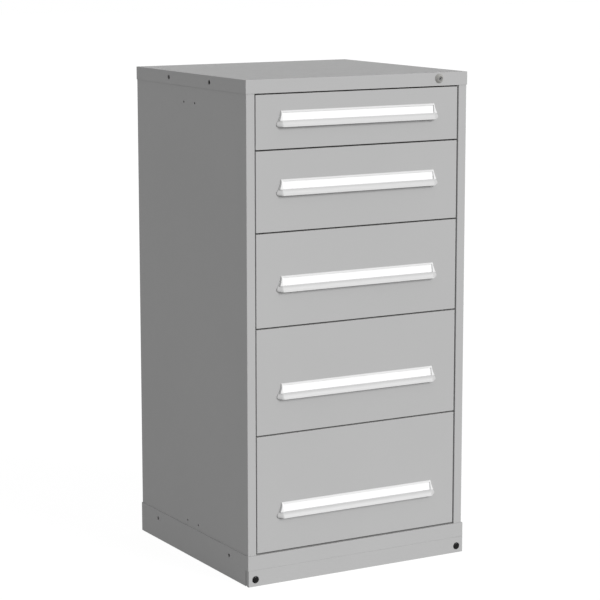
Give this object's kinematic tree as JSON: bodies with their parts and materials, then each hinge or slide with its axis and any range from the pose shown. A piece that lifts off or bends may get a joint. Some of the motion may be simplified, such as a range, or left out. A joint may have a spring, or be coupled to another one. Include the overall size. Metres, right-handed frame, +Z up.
{
  "type": "microscope slide drawer cabinet",
  "caption": "Tall steel cabinet for microscope slides: flush drawers of rising height, hooded label pulls, flat base and a cylinder lock in the top cover.",
  "frame": {"origin": "Middle of the footprint of the whole cabinet, pulls included, on the floor.", "axes": "+X to the right seen from the front, +Y to the back (the drawers open towards -Y), +Z up."},
  "size_m": [0.7628, 0.7308, 1.499],
  "materials": {
    "grey_paint": "satin powder coat, light grey",
    "pull_aluminium": "satin clear anodised",
    "pull_end_plastic": "fine moulded texture, light grey",
    "label_card": "blank white card",
    "zinc_steel": "zinc plated",
    "roller_nylon": "natural nylon",
    "black_rubber": "smooth black",
    "lock_chrome": "nickel chrome",
    "lock_core_steel": "dark steel lock core"
  },
  "bodies": {
    "housing": {"side_panel_left": "grey_paint", "side_panel_right": "grey_paint", "back_panel": "grey_paint", "top_cover": "grey_paint", "front_top_rail": "grey_paint", "bottom_panel": "grey_paint", "base_side_left": "grey_paint", "base_side_right": "grey_paint", "base_front_band": "grey_paint", "base_rear_band": "grey_paint", "base_cover": "grey_paint", "base_cover_plugs": "black_rubber", "housing_rails": "zinc_steel", "lock_barrel": "lock_chrome", "lock_bar_guides": "zinc_steel"},
    "drawer_1": {"drawer_1_body": "grey_paint", "drawer_1_front": "grey_paint", "drawer_1_handle": "pull_aluminium", "drawer_1_end_caps": "pull_end_plastic", "drawer_1_label": "label_card", "drawer_1_dividers": "zinc_steel"},
    "carriage_1": {"drawer_1_carriages": "zinc_steel", "drawer_1_rollers": "roller_nylon"},
    "drawer_2": {"drawer_2_body": "grey_paint", "drawer_2_front": "grey_paint", "drawer_2_handle": "pull_aluminium", "drawer_2_end_caps": "pull_end_plastic", "drawer_2_label": "label_card", "drawer_2_dividers": "zinc_steel"},
    "carriage_2": {"drawer_2_carriages": "zinc_steel", "drawer_2_rollers": "roller_nylon"},
    "drawer_3": {"drawer_3_body": "grey_paint", "drawer_3_front": "grey_paint", "drawer_3_handle": "pull_aluminium", "drawer_3_end_caps": "pull_end_plastic", "drawer_3_label": "label_card", "drawer_3_dividers": "zinc_steel"},
    "carriage_3": {"drawer_3_carriages": "zinc_steel", "drawer_3_rollers": "roller_nylon"},
    "drawer_4": {"drawer_4_body": "grey_paint", "drawer_4_front": "grey_paint", "drawer_4_handle": "pull_aluminium", "drawer_4_end_caps": "pull_end_plastic", "drawer_4_label": "label_card", "drawer_4_dividers": "zinc_steel"},
    "carriage_4": {"drawer_4_carriages": "zinc_steel", "drawer_4_rollers": "roller_nylon"},
    "drawer_5": {"drawer_5_body": "grey_paint", "drawer_5_front": "grey_paint", "drawer_5_handle": "pull_aluminium", "drawer_5_end_caps": "pull_end_plastic", "drawer_5_label": "label_card", "drawer_5_dividers": "zinc_steel"},
    "carriage_5": {"drawer_5_carriages": "zinc_steel", "drawer_5_rollers": "roller_nylon"},
    "lock_cylinder": {"lock_plug": "lock_core_steel", "lock_cam": "zinc_steel"},
    "locking_lever": {"lock_lever": "zinc_steel"},
    "locking_bar": {"lock_bar": "zinc_steel", "lock_bar_hooks": "zinc_steel"}
  },
  "joints": [
    {"name": "drawer_1_slide", "type": "slide", "parent": "housing", "child": "drawer_1", "axis": [0, -1, 0], "range_m": [0, 0.6]},
    {"name": "carriage_1_roll", "type": "slide", "parent": "housing", "child": "carriage_1", "axis": [0, -1, 0], "range_m": [0, 0.3]},
    {"name": "drawer_2_slide", "type": "slide", "parent": "housing", "child": "drawer_2", "axis": [0, -1, 0], "range_m": [0, 0.6]},
    {"name": "carriage_2_roll", "type": "slide", "parent": "housing", "child": "carriage_2", "axis": [0, -1, 0], "range_m": [0, 0.3]},
    {"name": "drawer_3_slide", "type": "slide", "parent": "housing", "child": "drawer_3", "axis": [0, -1, 0], "range_m": [0, 0.6]},
    {"name": "carriage_3_roll", "type": "slide", "parent": "housing", "child": "carriage_3", "axis": [0, -1, 0], "range_m": [0, 0.3]},
    {"name": "drawer_4_slide", "type": "slide", "parent": "housing", "child": "drawer_4", "axis": [0, -1, 0], "range_m": [0, 0.6]},
    {"name": "carriage_4_roll", "type": "slide", "parent": "housing", "child": "carriage_4", "axis": [0, -1, 0], "range_m": [0, 0.3]},
    {"name": "drawer_5_slide", "type": "slide", "parent": "housing", "child": "drawer_5", "axis": [0, -1, 0], "range_m": [0, 0.6]},
    {"name": "carriage_5_roll", "type": "slide", "parent": "housing", "child": "carriage_5", "axis": [0, -1, 0], "range_m": [0, 0.3]},
    {"name": "lock_turn", "type": "hinge", "parent": "housing", "child": "lock_cylinder", "pos_m": [0.279, -0.3504, 1.4812], "axis": [0, 1, 0], "range_deg": [0, 90]},
    {"name": "lock_lever_rock", "type": "hinge", "parent": "housing", "child": "locking_lever", "pos_m": [0.3246, -0.3251, 1.4812], "axis": [0, -1, 0], "range_deg": [0, 20.8]},
    {"name": "lock_bar_lift", "type": "slide", "parent": "housing", "child": "locking_bar", "axis": [0, 0, 1], "range_m": [0, 0.01459]}
  ],
  "couplings": [
    {"joint": "carriage_1_roll", "follows": "drawer_1_slide", "ratio": 0.5},
    {"joint": "carriage_2_roll", "follows": "drawer_2_slide", "ratio": 0.5},
    {"joint": "carriage_3_roll", "follows": "drawer_3_slide", "ratio": 0.5},
    {"joint": "carriage_4_roll", "follows": "drawer_4_slide", "ratio": 0.5},
    {"joint": "carriage_5_roll", "follows": "drawer_5_slide", "ratio": 0.5},
    {"joint": "lock_lever_rock", "follows": "lock_bar_lift", "rad_per_m": 24.889},
    {"joint": "lock_turn", "follows": "lock_bar_lift", "rad_per_m": 107.7}
  ]
}
